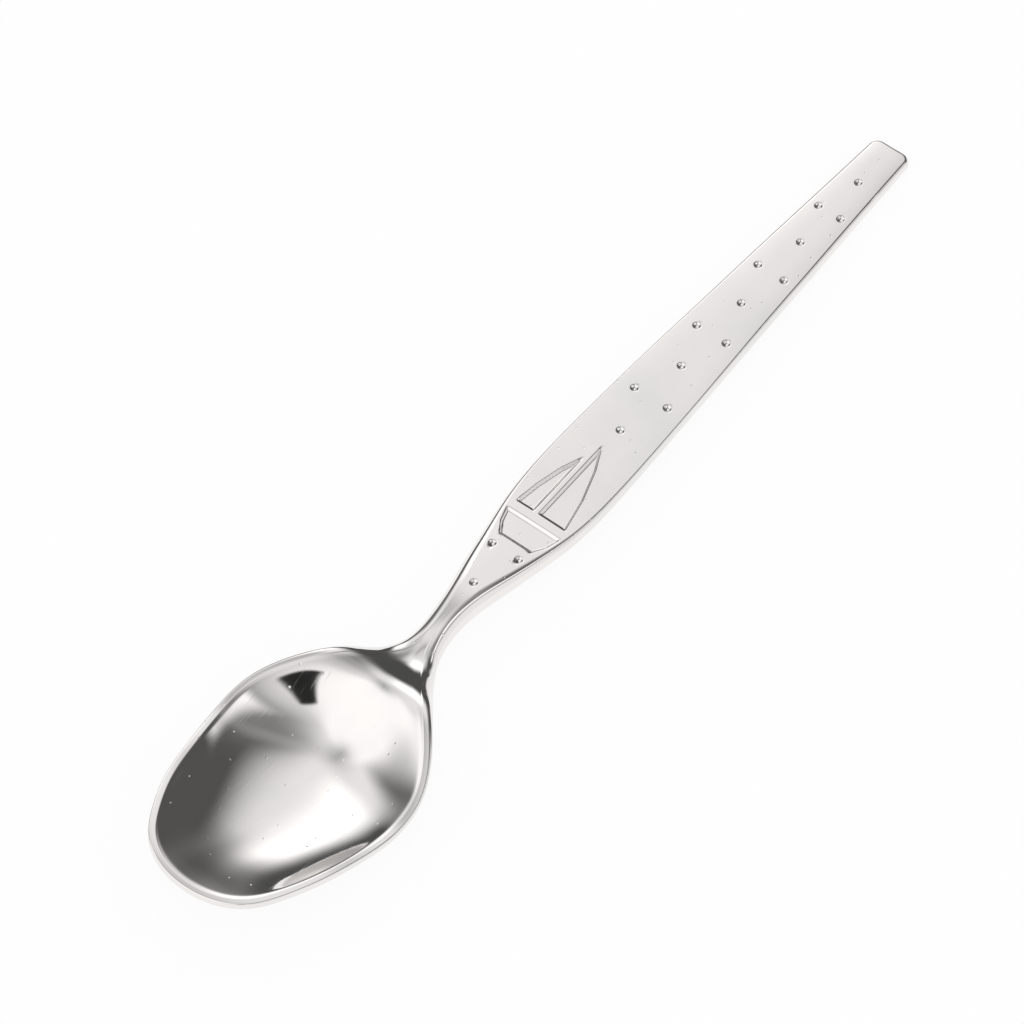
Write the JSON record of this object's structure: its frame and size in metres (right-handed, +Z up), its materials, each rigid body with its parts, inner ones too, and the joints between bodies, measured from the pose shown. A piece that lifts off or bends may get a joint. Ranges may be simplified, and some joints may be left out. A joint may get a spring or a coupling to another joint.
{
  "type": "child spoon",
  "caption": "Child's spoon in polished steel with a wide shallow bowl, a narrow neck and a short flared handle with sunk dots and a sunk sailing boat.",
  "frame": {"origin": "on the table, under the middle of the spoon's length and width", "axes": "+X from the bowl's tip to the handle's end, +Z up, with the bowl open upwards"},
  "size_m": [0.15, 0.0294, 0.0076],
  "materials": {
    "steel": "polished bright"
  },
  "bodies": {
    "root": {"spoon": "steel"}
  },
  "joints": []
}
